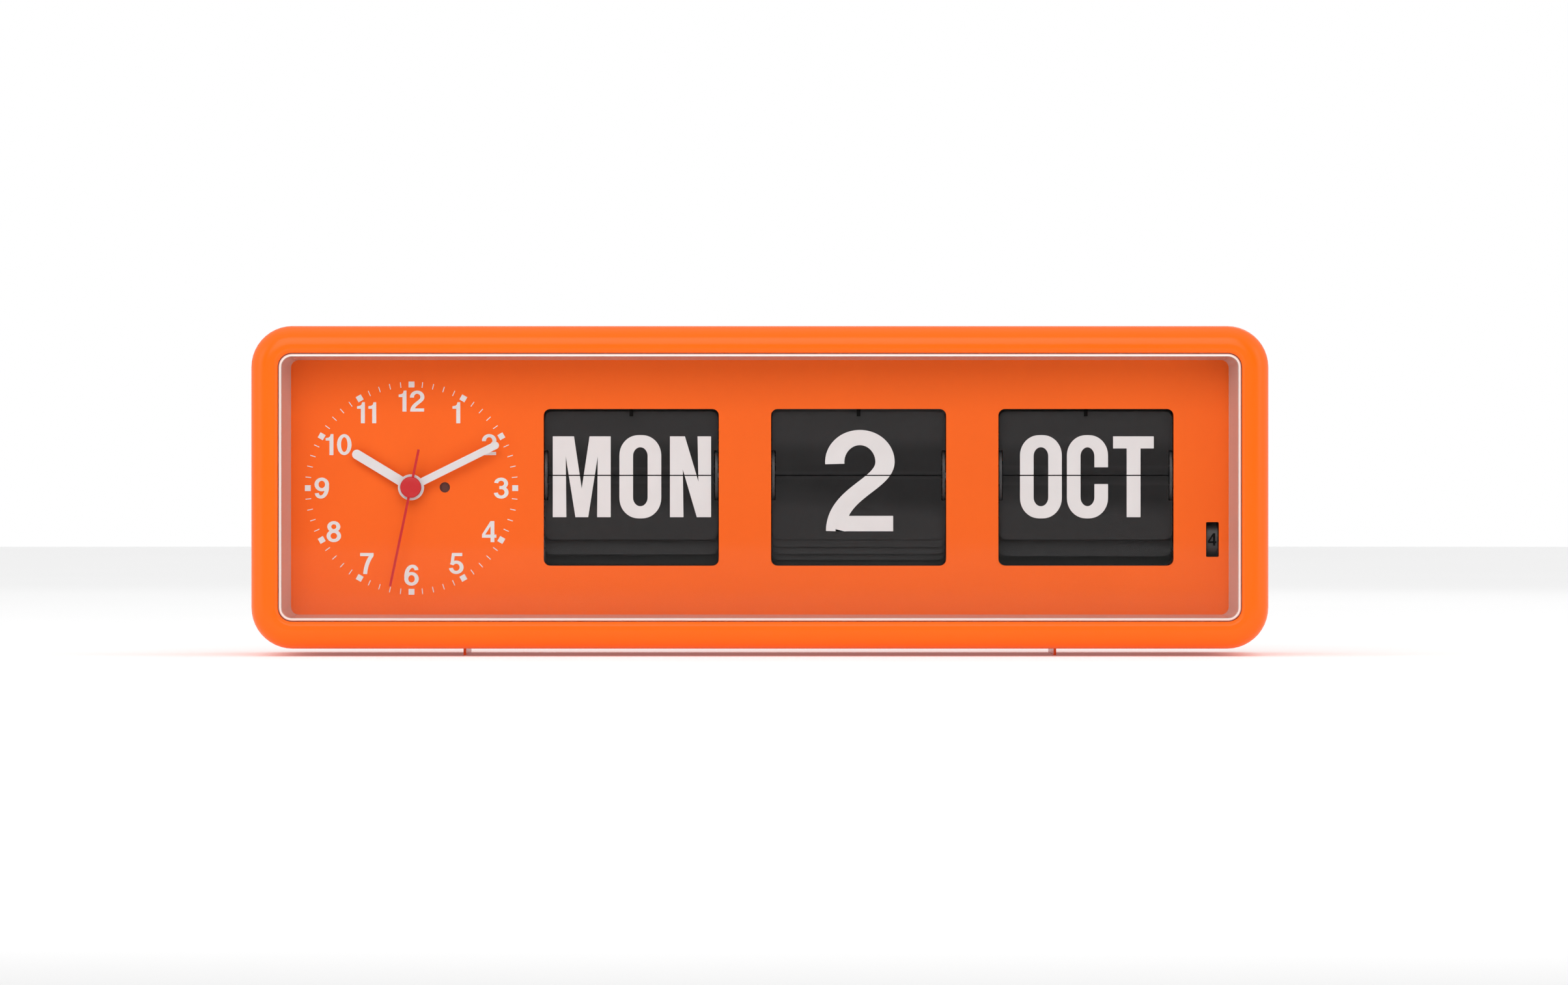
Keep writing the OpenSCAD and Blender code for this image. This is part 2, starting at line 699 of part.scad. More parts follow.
idler_dir = atan2(idler_at[1] - split_z, idler_at[0] - axis_y);
idler_turn = mesh(0, 20, 40, idler_dir);
leap_dir = atan2(leap_z - idler_at[1], leap_y - idler_at[0]);
leap_turn = mesh(idler_turn, 10, 20, leap_dir);

module leap_idler() color(NYLON) difference() {
    union() {
        across(drum_gear_x[0], drum_gear_x[1]) translate(idler_at) gear(40, leap_mod, idler_turn, 0.1);
        across(drum_gear_x[1], leap_gear_x[1]) translate(idler_at) gear(10, leap_mod, idler_turn, 0.1);
    }
    across(150, 165) translate(idler_at) circle(1.06);
}

module leap_wheel() color(DARK) {
    across(leap_gear_x[0], leap_gear_x[1]) translate([leap_y, leap_z]) gear(20, leap_mod, leap_turn, 0.1);
    across(leap_gear_x[0], leap_x + 3) translate([leap_y, leap_z]) circle(1);
    across(leap_x - 2.1, leap_x + 2.1) translate([leap_y, leap_z]) circle(leap_r);
}

housing();
rear_cover();
lens();
dial_plate();
feet();
case_screws();
battery_box();
battery_cell();
battery_contacts();
battery_door();
movement_case_front();
movement_case_rear();
train_plate();
circuit_board();
coil();
stator();
rotor();
intermediate_wheel();
second_wheel();
third_wheel();
centre_wheel();
cannon_pinion();
minute_wheel();
hour_wheel();
time_set_knob();
am_pm_disc();
hour_hand();
minute_hand();
second_hand();
calendar_frame();
calendar_shaft();
flap_catches();
detent_springs();
advance_rocker();
set_button(weekday_x);  // weekday_button
set_button(date_x);  // date_button
set_button(month_x);  // month_button
button_springs();
drum(0);  // weekday_drum
rear_flaps(0);  // weekday_rear_flaps
color(FLAP) placed_flap(0, 0);  // weekday_falling_flap
color(FLAP) placed_flap(0, 1);  // weekday_next_flap
color(FLAP) placed_flap(0, -1);  // weekday_lower_flap_1
color(FLAP) placed_flap(0, -2);  // weekday_lower_flap_2
drum(1);  // date_drum
rear_flaps(1);  // date_rear_flaps
color(FLAP) placed_flap(1, 0);  // date_falling_flap
color(FLAP) placed_flap(1, 1);  // date_next_flap
color(FLAP) placed_flap(1, -1);  // date_lower_flap_1
color(FLAP) placed_flap(1, -2);  // date_lower_flap_2
color(FLAP) placed_flap(1, -3);  // date_lower_flap_3
drum(2);  // month_drum
rear_flaps(2);  // month_rear_flaps
color(FLAP) placed_flap(2, 0);  // month_falling_flap
color(FLAP) placed_flap(2, 1);  // month_next_flap
color(FLAP) placed_flap(2, -1);  // month_lower_flap_1
color(FLAP) placed_flap(2, -2);  // month_lower_flap_2
leap_idler();
leap_wheel();
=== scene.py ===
"""Looks of the flip calendar clock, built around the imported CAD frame."""
import json
import math

import bmesh
import bpy
from mathutils import Matrix, Vector


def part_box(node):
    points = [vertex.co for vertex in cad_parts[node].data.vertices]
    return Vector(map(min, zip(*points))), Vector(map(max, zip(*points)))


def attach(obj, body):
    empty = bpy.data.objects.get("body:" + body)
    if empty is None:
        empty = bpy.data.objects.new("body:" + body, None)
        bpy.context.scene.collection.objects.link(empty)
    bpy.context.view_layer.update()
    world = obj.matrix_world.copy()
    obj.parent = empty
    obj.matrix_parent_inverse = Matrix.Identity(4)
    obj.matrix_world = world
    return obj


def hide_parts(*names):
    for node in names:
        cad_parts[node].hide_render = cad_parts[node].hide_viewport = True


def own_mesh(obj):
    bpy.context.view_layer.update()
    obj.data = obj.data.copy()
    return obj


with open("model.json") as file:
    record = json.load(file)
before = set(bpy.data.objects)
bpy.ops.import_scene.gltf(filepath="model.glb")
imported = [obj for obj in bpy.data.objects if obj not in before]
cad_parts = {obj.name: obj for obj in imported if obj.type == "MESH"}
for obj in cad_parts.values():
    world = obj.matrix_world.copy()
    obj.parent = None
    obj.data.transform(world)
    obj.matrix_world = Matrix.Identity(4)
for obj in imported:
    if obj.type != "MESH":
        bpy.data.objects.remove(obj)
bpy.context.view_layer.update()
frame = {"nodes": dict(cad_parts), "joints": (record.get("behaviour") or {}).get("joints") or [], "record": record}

MM = 0.001
scene = bpy.context.scene
JOINTS = {j["name"]: j for j in frame["joints"]}


# ---------------------------------------------------------------- places, all from the frame

def joint_at(name):
    return Vector(JOINTS[name]["pos_m"])


case_lo, case_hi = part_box("housing")
dial_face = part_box("dial_plate")[0].y
lens_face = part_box("lens")[0].y
mid_z = (case_lo.z + case_hi.z) / 2
CORNER_R = 15.4 * MM      # radius of the case's corners seen from the front
hub = joint_at("second_spin")
dial_z = hub.z - 0.3 * MM     # middle of the dial print
drum_axis = joint_at("weekday_step")
split_z = drum_axis.z
REGISTERS = {
    "weekday": ("MON", "TUE"),
    "date": ("2", "3"),
    "month": ("OCT", "NOV"),
}


# ---------------------------------------------------------------- materials

def new_material(name):
    mat = bpy.data.materials.new(name)
    mat.use_nodes = True
    nodes = mat.node_tree.nodes
    return mat, nodes, mat.node_tree.links, nodes["Principled BSDF"]


def surface(name, color, rough, mottle=0.04, mottle_scale=60.0, grain=0.0, grain_scale=2500.0,
            rough_span=0.06, metallic=0.0, coat=0.0, edge_wear=0.0, spec=0.5):
    """A moulded, painted or printed surface: slight colour drift, uneven gloss and fine grain."""
    mat, nodes, links, bsdf = new_material(name)
    coords = nodes.new("ShaderNodeTexCoord")
    drift = nodes.new("ShaderNodeTexNoise")
    drift.inputs["Scale"].default_value = mottle_scale
    drift.inputs["Detail"].default_value = 4
    links.new(coords.outputs["Object"], drift.inputs["Vector"])
    ramp = nodes.new("ShaderNodeValToRGB")
    ramp.color_ramp.elements[0].position = 0.3
    ramp.color_ramp.elements[1].position = 0.7
    ramp.color_ramp.elements[0].color = [c * (1 - mottle) for c in color] + [1]
    ramp.color_ramp.elements[1].color = [min(1, c * (1 + mottle)) for c in color] + [1]
    links.new(drift.outputs["Fac"], ramp.inputs["Fac"])
    tint = ramp.outputs["Color"]
    if edge_wear:
        geometry = nodes.new("ShaderNodeNewGeometry")
        edge = nodes.new("ShaderNodeMapRange")
        edge.inputs["From Min"].default_value = 0.52
        edge.inputs["From Max"].default_value = 0.62
        edge.inputs["To Max"].default_value = edge_wear
        links.new(geometry.outputs["Pointiness"], edge.inputs["Value"])
        lighter = nodes.new("ShaderNodeMix")
        lighter.data_type = "RGBA"
        links.new(edge.outputs["Result"], lighter.inputs["Factor"])
        links.new(tint, lighter.inputs["A"])
        lighter.inputs["B"].default_value = [min(1, c * 1.6 + 0.05) for c in color] + [1]
        tint = lighter.outputs["Result"]
    links.new(tint, bsdf.inputs["Base Color"])
    gloss = nodes.new("ShaderNodeMapRange")
    gloss.inputs["To Min"].default_value = max(0.02, rough - rough_span)
    gloss.inputs["To Max"].default_value = rough + rough_span
    links.new(drift.outputs["Fac"], gloss.inputs["Value"])
    links.new(gloss.outputs["Result"], bsdf.inputs["Roughness"])
    if grain:
        fine = nodes.new("ShaderNodeTexNoise")
        fine.inputs["Scale"].default_value = grain_scale
        fine.inputs["Detail"].default_value = 3
        links.new(coords.outputs["Object"], fine.inputs["Vector"])
        bump = nodes.new("ShaderNodeBump")
        bump.inputs["Strength"].default_value = grain
        bump.inputs["Distance"].default_value = 0.00005
        links.new(fine.outputs["Fac"], bump.inputs["Height"])
        links.new(bump.outputs["Normal"], bsdf.inputs["Normal"])
    bsdf.inputs["Metallic"].default_value = metallic
    bsdf.inputs["Coat Weight"].default_value = coat
    bsdf.inputs["Coat Roughness"].default_value = 0.08
    bsdf.inputs["Specular IOR Level"].default_value = spec
    return mat


def clear_plastic(name, color, alpha, rough):
    """Clear acrylic seen through: a faint tint whose strength is its alpha, with polished gloss."""
    mat, nodes, links, bsdf = new_material(name)
    coords = nodes.new("ShaderNodeTexCoord")
    haze = nodes.new("ShaderNodeTexNoise")
    haze.inputs["Scale"].default_value = 25
    links.new(coords.outputs["Object"], haze.inputs["Vector"])
    gloss = nodes.new("ShaderNodeMapRange")
    gloss.inputs["To Min"].default_value = rough
    gloss.inputs["To Max"].default_value = rough + 0.03
    links.new(haze.outputs["Fac"], gloss.inputs["Value"])
    links.new(gloss.outputs["Result"], bsdf.inputs["Roughness"])
    bsdf.inputs["Base Color"].default_value = (*color, 1)
    bsdf.inputs["Alpha"].default_value = alpha
    bsdf.inputs["IOR"].default_value = 1.49
    return mat


def clear_window(name):
    """A flat clear pane: nothing of its own colour, and a mirror that strengthens at a slant."""
    mat, nodes, links, bsdf = new_material(name)
    coords = nodes.new("ShaderNodeTexCoord")
    ripple = nodes.new("ShaderNodeTexNoise")
    ripple.inputs["Scale"].default_value = 12
    links.new(coords.outputs["Object"], ripple.inputs["Vector"])
    gloss = nodes.new("ShaderNodeMapRange")
    gloss.inputs["To Min"].default_value = 0.01
    gloss.inputs["To Max"].default_value = 0.04
    links.new(ripple.outputs["Fac"], gloss.inputs["Value"])
    links.new(gloss.outputs["Result"], bsdf.inputs["Roughness"])
    fresnel = nodes.new("ShaderNodeFresnel")
    fresnel.inputs["IOR"].default_value = 1.18
    links.new(fresnel.outputs["Fac"], bsdf.inputs["Alpha"])
    bsdf.inputs["Base Color"].default_value = (1, 1, 1, 1)
    bsdf.inputs["Metallic"].default_value = 1.0
    return mat


case_orange = surface("case_orange", (1.0, 0.135, 0.0), 0.25, 0.015, 18, 0.12, 1800, 0.04, spec=0.25)
dial_orange = surface("dial_orange", (1.0, 0.153, 0.016), 0.5, 0.02, 30, 0.25, 2600, spec=0.1)
flap_black = surface("flap_black", (0.018, 0.0182, 0.0187), 0.5, 0.06, 80, 0.35, 3000,
                     edge_wear=0.25, spec=0.06)
print_white = surface("print_white", (0.79, 0.79, 0.79), 0.55, 0.02, 120, 0.2, 4000)
print_black = surface("print_black", (0.003, 0.003, 0.003), 0.7, 0.05, 120, 0.2, 4000, spec=0.04)
hand_white = surface("hand_white", (0.78, 0.79, 0.8), 0.35, 0.02, 120, 0.1, 3000, coat=0.2)
hand_red = surface("hand_red", (0.6, 0.018, 0.024), 0.35, 0.03, 120, 0.1, 3000, spec=0.3)
black_moulding = surface("black_moulding", (0.018, 0.018, 0.019), 0.42, 0.08, 60, 0.4, 2200, edge_wear=0.3)
grey_moulding = surface("grey_moulding", (0.16, 0.165, 0.17), 0.5, 0.05, 60, 0.4, 2200)
nylon = surface("nylon", (0.72, 0.7, 0.62), 0.4, 0.04, 200, 0.15, 3000)
steel = surface("steel", (0.62, 0.62, 0.64), 0.28, 0.08, 400, 0.2, 3000, metallic=1.0)
brass = surface("brass", (0.75, 0.52, 0.22), 0.3, 0.06, 300, 0.15, 3000, metallic=1.0)
copper = surface("copper", (0.55, 0.2, 0.08), 0.35, 0.1, 900, 0.5, 5000, metallic=0.6)
board_green = surface("board_green", (0.01, 0.09, 0.035), 0.35, 0.12, 300, 0.3, 2500, coat=0.4)
cell_sleeve = surface("cell_sleeve", (0.32, 0.16, 0.05), 0.3, 0.05, 100, 0.1, 2000, coat=0.5)
disc_brown = surface("disc_brown", (0.13, 0.032, 0.02), 0.5, 0.08, 200, 0.2, 3000)
lens_clear = clear_window("lens_clear")
# Painted highlight: the lens's rounded edge gets a near-white, nearly opaque tint in place of the white specular
# line along it
lens_edge_painted_highlight = clear_plastic("lens_edge_painted_highlight", (1.0, 0.92, 0.86), 0.88, 0.1)
lens_side = clear_plastic("lens_side", (1.0, 0.89, 0.85), 0.7, 0.08)

SLOT_MATERIALS = {
    "case_plastic": case_orange,
    "dial": dial_orange,
    "lens": lens_clear,
    "steel": steel,
    "flap_card": flap_black,
    "brass": brass,
    "hand_white": hand_white,
    "hand_red": hand_red,
    "board": board_green,
    "copper": copper,
    "cell": cell_sleeve,
    "disc": disc_brown,
    "nylon": nylon,
    "grey_plastic": grey_moulding,
    "black_plastic": black_moulding,
}

# Nodes that look different from the rest of their slot
NODE_MATERIALS = {"flap_catches": print_black}


def dress_cad_nodes():
    for part in frame["record"]["subparts"]:
        obj = frame["nodes"][part["node"]]
        mat = NODE_MATERIALS.get(part["node"], SLOT_MATERIALS[part["material_slot"]])
        if not obj.material_slots:
            obj.data.materials.append(mat)
        for s in obj.material_slots:
            s.material = mat


# ---------------------------------------------------------------- mesh helpers

def add_object(name, mesh, mat, body):
    obj = bpy.data.objects.new(name, mesh)
    scene.collection.objects.link(obj)
    mesh.materials.clear()
    mesh.materials.append(mat)
    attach(obj, body)
    return obj


def filled(loops):
    """A flat plate, half a unit to each side of z = 0, inside the first loop and outside the rest."""
    curve = bpy.data.curves.new("outline", "CURVE")
    curve.dimensions = "2D"
    curve.fill_mode = "BOTH"
    curve.extrude = 0.5
    for loop in loops:
        spline = curve.splines.new("POLY")
        spline.points.add(len(loop) - 1)
        for point, (x, y) in zip(spline.points, loop):
            point.co = (x, y, 0, 1)
        spline.use_cyclic_u = True
    obj = bpy.data.objects.new("outline", curve)
    mesh = bpy.data.meshes.new_from_object(obj)
    bpy.data.objects.remove(obj)
    bpy.data.curves.remove(curve)
    bm = bmesh.new()
    bm.from_mesh(mesh)
    bmesh.ops.remove_doubles(bm, verts=bm.verts, dist=1e-5)
    bmesh.ops.recalc_face_normals(bm, faces=bm.faces)
    bm.to_mesh(mesh)
    bm.free()
    return mesh


def united(meshes):
    """Joins solid meshes into one with a boolean union."""
    if len(meshes) == 1:
        return meshes[0]
    objects = [bpy.data.objects.new("part", m) for m in meshes]
    for o in objects:
        scene.collection.objects.link(o)
    for other in objects[1:]:
        union = objects[0].modifiers.new("union", "BOOLEAN")
        union.operation = "UNION"
        union.object = other
    graph = bpy.context.evaluated_depsgraph_get()
    mesh = bpy.data.meshes.new_from_object(objects[0].evaluated_get(graph))
    for o in objects:
        bpy.data.objects.remove(o)
    return mesh


def joined(name, meshes):
    """One mesh that holds copies of several."""
    bm = bmesh.new()
    for m in meshes:
        bm.from_mesh(m)
    mesh = bpy.data.meshes.new(name)
    bm.to_mesh(mesh)
    bm.free()
    return mesh


def cut(mesh, height, keep_above):
    """Keeps the part of a mesh above or below a height in z, and closes the cut."""
    bm = bmesh.new()
    bm.from_mesh(mesh)
    normal = (0, 0, -1 if keep_above else 1)
    bmesh.ops.bisect_plane(bm, geom=bm.verts[:] + bm.edges[:] + bm.faces[:], dist=1e-7,
                           plane_co=(0, 0, height), plane_no=normal, clear_outer=True)
    bmesh.ops.holes_fill(bm, edges=[e for e in bm.edges if e.is_boundary], sides=0)
    out = bpy.data.meshes.new(mesh.name)
    bm.to_mesh(out)
    bm.free()
    return out


def arc(cx, cy, rx, ry, start, end, steps=24):
    """Points along an ellipse, from one angle to another in degrees."""
    return [(cx + rx * math.cos(math.radians(start + (end - start) * i / steps)),
             cy + ry * math.sin(math.radians(start + (end - start) * i / steps)))
            for i in range(steps + 1)]


def bezier(p0, p1, p2, p3, steps=24):
    points = []
    for i in range(steps + 1):
        t = i / steps
        w = ((1 - t) ** 3, 3 * t * (1 - t) ** 2, 3 * t * t * (1 - t), t ** 3)
        points.append(tuple(w[0] * a + w[1] * b + w[2] * c + w[3] * d
                            for a, b, c, d in zip(p0, p1, p2, p3)))
    return points


def box_loop(x0, y0, x1, y1):
    return [(x0, y0), (x1, y0), (x1, y1), (x0, y1)]


def round_box(x0, y0, x1, y1, rx, ry):
    """A rectangle whose corners are quarter ellipses."""
    loop = []
    centers = ((x1 - rx, y1 - ry), (x0 + rx, y1 - ry), (x0 + rx, y0 + ry), (x1 - rx, y0 + ry))
    for k, (cx, cy) in enumerate(centers):
        loop += arc(cx, cy, rx, ry, 90 * k, 90 * k + 90, 10)
    return loop


# ---------------------------------------------------------------- lettering, one unit is the capital height

UPRIGHT = 0.19     # width of a digit's upright strokes
LEVEL = 0.15       # width of a digit's level strokes


def stroke(points, upright=UPRIGHT, level=LEVEL):
    """Outline of a broad pen drawn along the points: wider across than down."""
    left, right = [], []
    for i, (x, y) in enumerate(points):
        ax, ay = points[max(i - 1, 0)]
        bx, by = points[min(i + 1, len(points) - 1)]
        nx, ny = ay - by, bx - ax
        a, b = (upright / 2) ** 2, (level / 2) ** 2
        size = math.sqrt(a * nx * nx + b * ny * ny)
        dx, dy = a * nx / size, b * ny / size
        left.append((x + dx, y + dy))
        right.append((x - dx, y - dy))
    return left + right[::-1]


def ring(cx, cy, rx, ry):
    """Outer and inner loops of a round stroke whose middle line is an ellipse."""
    return [arc(cx, cy, rx + UPRIGHT / 2, ry + LEVEL / 2, 0, 360, 48)[:-1],
            arc(cx, cy, rx - UPRIGHT / 2, ry - LEVEL / 2, 360, 0, 48)[:-1]]


def digit_parts(char):
    """Lists of loops, one list per solid part of a digit."""
    if char == "0":
        return [ring(0.345, 0.5, 0.25, 0.425)]
    if char == "1":
        flag = bezier((0.225, 0.94), (0.2, 0.84), (0.12, 0.82), (0, 0.815), 8)
        return [[[(0.18, 0), (0.37, 0), (0.37, 1), (0.235, 1)] + flag + [(0, 0.69), (0.18, 0.69)]]]
    if char == "2":
        hook = arc(0.34, 0.685, 0.248, 0.24, 185, 0, 30)
        sweep = bezier((0.588, 0.685), (0.588, 0.46), (0.1, 0.38), (0.1, 0), 24)
        return [[stroke(hook + sweep[1:])], [box_loop(0.1, 0, 0.668, 0.152)]]
    if char == "3":
        upper = arc(0.335, 0.725, 0.235, 0.2, 175, -80, 30)
        lower = arc(0.34, 0.3, 0.255, 0.225, 85, -175, 32)
        return [[stroke(upper)], [stroke(lower)], [box_loop(0.25, 0.45, 0.4, 0.6)]]
    if char == "4":
        outer = [(0, 0.21), (0.405, 0.21), (0.405, 0), (0.585, 0), (0.585, 0.21), (0.68, 0.21),
                 (0.68, 0.36), (0.585, 0.36), (0.585, 1), (0.4, 1), (0, 0.37)]
        return [[outer, [(0.15, 0.36), (0.405, 0.76), (0.405, 0.36)]]]
    if char == "5":
        bowl = arc(0.335, 0.32, 0.255, 0.245, 150, -172, 36)
        flag = [(0.13, 1), (0.06, 0.46), (0.2, 0.42), (0.26, 0.85), (0.62, 0.85), (0.62, 1)]
        return [[stroke(bowl)], [flag]]
    if char in "69":
        tail = bezier((0.585, 0.74), (0.54, 1.03), (0.095, 1.02), (0.095, 0.4), 24)
        parts = [ring(0.345, 0.325, 0.25, 0.25), [stroke(tail)]]
        if char == "9":
            parts = [[[(0.69 - x, 1 - y) for x, y in loop] for loop in part] for part in parts]
        return parts
    if char == "7":
        slant = bezier((0.57, 0.88), (0.42, 0.68), (0.29, 0.4), (0.26, 0), 16)
        return [[box_loop(0.02, 0.85, 0.66, 1)], [stroke(slant)]]
    return [ring(0.345, 0.735, 0.215, 0.19), ring(0.345, 0.295, 0.25, 0.22)]


STEM = 0.168       # stem width of the narrow capitals
BAR = 0.15         # height of their level strokes
ROUND = (0.235, 0.25)     # half-axes of their outer corners
HOLLOW = (0.09, 0.11)     # half-axes of their inner corners


def tall_bowl(width, low, high):
    """Outer and inner loops of a narrow capital's round-cornered bowl."""
    return [round_box(0, low, width, high, *ROUND),
            round_box(STEM, low + BAR, width - STEM, high - BAR, *HOLLOW)[::-1]]


def capital_parts(char):
    if char == "O":
        return [tall_bowl(0.517, -0.015, 1.015)]
    if char == "M":
        return [[[(0, 0), (STEM, 0), (0.16, 0.75), (0.28, 0), (0.438, 0), (0.556, 0.75), (0.548, 0),
                  (0.716, 0), (0.716, 1), (0.455, 1), (0.358, 0.355), (0.262, 1), (0, 1)]]]
    if char == "N":
        return [[[(0, 0), (0.167, 0), (0.159, 0.59), (0.332, 0), (0.508, 0), (0.508, 1), (0.341, 1),
                  (0.352, 0.44), (0.185, 1), (0, 1)]]]
    if char == "C":
        low, high, width = -0.015, 1.015, 0.508
        left, right = ROUND[0], width - ROUND[0]
        outer = (arc(right, high - ROUND[1], *ROUND, 0, 90, 10)
                 + arc(left, high - ROUND[1], *ROUND, 90, 180, 10)
                 + arc(left, low + ROUND[1], *ROUND, 180, 270, 10)
                 + arc(right, low + ROUND[1], *ROUND, 270, 360, 10))
        left, right = STEM + HOLLOW[0], width - STEM - HOLLOW[0]
        floor, roof = low + BAR + HOLLOW[1], high - BAR - HOLLOW[1]
        inner = (arc(right, floor, *HOLLOW, 360, 270, 8) + arc(left, floor, *HOLLOW, 270, 180, 8)
                 + arc(left, roof, *HOLLOW, 180, 90, 8) + arc(right, roof, *HOLLOW, 90, 0, 8))
        upper_end, lower_end = 0.617, 0.409
        return [[[(width, upper_end)] + outer + [(width, lower_end), (width - STEM, lower_end)]
                 + inner + [(width - STEM, upper_end)]]]
    if char == "T":
        return [[[(0.168, 0), (0.339, 0), (0.339, 1 - BAR), (0.503, 1 - BAR), (0.503, 1), (0, 1),
                  (0, 1 - BAR), (0.168, 1 - BAR)]]]
    if char == "U":
        width = 0.51
        outer = (arc(ROUND[0], 0.235, *ROUND, 180, 270, 10)
                 + arc(width - ROUND[0], 0.235, *ROUND, 270, 360, 10))
        inner = (arc(width - STEM - HOLLOW[0], BAR + 0.1, *HOLLOW, 360, 270, 8)
                 + arc(STEM + HOLLOW[0], BAR + 0.1, *HOLLOW, 270, 180, 8))
        return [[outer + [(width, 1), (width - STEM, 1)] + inner + [(STEM, 1), (0, 1)]]]
    if char == "E":
        return [[[(0, 0), (0.42, 0), (0.42, BAR), (STEM, BAR), (STEM, 0.43), (0.38, 0.43), (0.38, 0.58),
                  (STEM, 0.58), (STEM, 1 - BAR), (0.42, 1 - BAR), (0.42, 1), (0, 1)]]]
    return [[[(0.18, 0), (0.36, 0), (0.54, 1), (0.37, 1), (0.27, 0.3), (0.17, 1), (0, 1)]]]


WIDTHS = {"0": 0.69, "1": 0.37, "2": 0.68, "3": 0.68, "4": 0.68, "5": 0.68, "6": 0.69, "7": 0.66,
          "8": 0.69, "9": 0.69, "M": 0.716, "O": 0.517, "N": 0.508, "C": 0.508, "T": 0.503,
          "U": 0.51, "E": 0.42, "V": 0.54}
glyphs = {}


def glyph(char):
    if char not in glyphs:
        parts = digit_parts(char) if char.isdigit() else capital_parts(char)
        glyphs[char] = united([filled(loops) for loops in parts])
    return glyphs[char]


def text_width(text, gap):
    return sum(WIDTHS[c] for c in text) + gap * (len(text) - 1)


def text_mesh(text, height, center_x, base_z, front_y, gap, thick=0.05 * MM):
    """Raised print in the plane y = front_y, facing the front."""
    copies = []
    pen = -text_width(text, gap) / 2
    for char in text:
        mesh = glyph(char).copy()
        mesh.transform(Matrix(((height, 0, 0, center_x + pen * height),
                               (0, 0, -thick, front_y + thick / 2),
                               (0, height, 0, base_z),
                               (0, 0, 0, 1))))
        copies.append(mesh)
        pen += WIDTHS[char] + gap
    return joined("print_" + text, copies)


# ---------------------------------------------------------------- dial printing

def plate_at(loop, front_y, thick, turn):
    """A printed shape on the dial, turned clockwise about the hub seen from the front."""
    mesh = filled([loop])
    place = Matrix(((1, 0, 0, 0), (0, 0, -thick, front_y + thick / 2), (0, 1, 0, 0), (0, 0, 0, 1)))
    middle = Matrix.Translation((hub.x, 0, dial_z))
    mesh.transform(middle @ Matrix.Rotation(math.radians(turn), 4, "Y") @ place)
    return mesh


def print_dial():
    thick = 0.06 * MM
    face = dial_face - thick
    ring_r = 38.95 * MM
    marker = 1.1 * MM         # half the side of an hour marker
    tick_w = 0.15 * MM        # half the width of a minute tick
    tick_h = 1.05 * MM        # half its length
    marker_loop = box_loop(-marker, ring_r - marker, marker, ring_r + marker)
    tick_loop = box_loop(-tick_w, ring_r - tick_h, tick_w, ring_r + tick_h)
    squares, ticks = [], []
    for minute in range(60):
        if minute % 5 == 0:
            squares.append(plate_at(marker_loop, face, thick, 6 * minute))
        else:
            ticks.append(plate_at(tick_loop, face, thick, 6 * minute))
    add_object("dial_hour_markers", joined("markers", squares), print_white, "case")
    add_object("dial_minute_ticks", joined("ticks", ticks), print_white, "case")
    numerals = []
    height = 7.9 * MM
    across, up = 33.7 * MM, 32.7 * MM     # half-axes of the ellipse that the numerals stand on
    for hour in range(1, 13):
        angle = math.radians(30 * hour)
        x = hub.x + across * math.sin(angle) + (1.8 * MM if hour == 10 else 0)
        z = dial_z + up * math.cos(angle) - height / 2
        numerals.append(text_mesh(str(hour), height, x, z, face, 0.17, thick))
    add_object("dial_numerals", joined("numerals", numerals), print_white, "case")


# ---------------------------------------------------------------- flap printing

# Each register's lettering: height, foot below the split line, gap between letters, shift to the right
LETTERING = {
    "weekday": (30.4 * MM, -15.7 * MM, 0.108, 0.2 * MM),
    "date": (38.1 * MM, -21.0 * MM, 0.15, 0.5 * MM),
    "month": (30.4 * MM, -15.7 * MM, 0.063, 0.45 * MM),
}
PRINT = 0.04 * MM         # thickness of the flap print


def register_text(register, text, front_y):
    height, foot, gap, shift = LETTERING[register]
    x = joint_at(register + "_step").x + shift
    return text_mesh(text, height, x, split_z + foot, front_y, gap, PRINT)


def print_register(register, shown, following):
    """Prints the card in view, and the card that the next step brings into view."""
    falling = register + "_falling_flap"
    upper = register + "_next_flap"
    lower = register + "_lower_flap_1"
    margin = 0.22 * MM        # bare card left beside the split
    half_card = 0.2 * MM      # half the thickness of a card

    def card_face(node, front):
        pin = joint_at(node + "_turn")
        return pin.y + (-half_card if front else half_card)

    top = cut(register_text(register, shown, card_face(falling, True) - PRINT), split_z + margin, True)
    add_object(register + "_print_shown_top", top, print_white, falling)
    low = cut(register_text(register, shown, card_face(lower, True) - PRINT), split_z - margin, False)
    add_object(register + "_print_shown_low", low, print_white, lower)
    rise = joint_at(upper + "_turn").z - joint_at(falling + "_turn").z
    top = cut(register_text(register, following, card_face(upper, True) - PRINT), split_z + margin, True)
    top.transform(Matrix.Translation((0, 0, rise)))
    add_object(register + "_print_next_top", top, print_white, upper)
    low = cut(register_text(register, following, card_face(falling, False)), split_z - margin, False)
    low.transform(Matrix.Translation((0, 0, 2 * split_z)) @ Matrix.Scale(-1, 4, (0, 0, 1)))
    low.flip_normals()
    add_object(register + "_print_next_low", low, print_white, falling)


def cut_in_rows(mesh, step):
    """Cuts a mesh at levels one step apart, so that it can follow a curve."""
    bm = bmesh.new()
    bm.from_mesh(mesh)
    level = min(v.co.z for v in bm.verts) + step
    top = max(v.co.z for v in bm.verts)
    while level < top:
        bmesh.ops.bisect_plane(bm, geom=bm.verts[:] + bm.edges[:] + bm.faces[:], dist=1e-8,
                               plane_co=(0, 0, level), plane_no=(0, 0, 1))
        level += step
    bmesh.ops.triangulate(bm, faces=bm.faces[:])
    bm.to_mesh(mesh)
    bm.free()


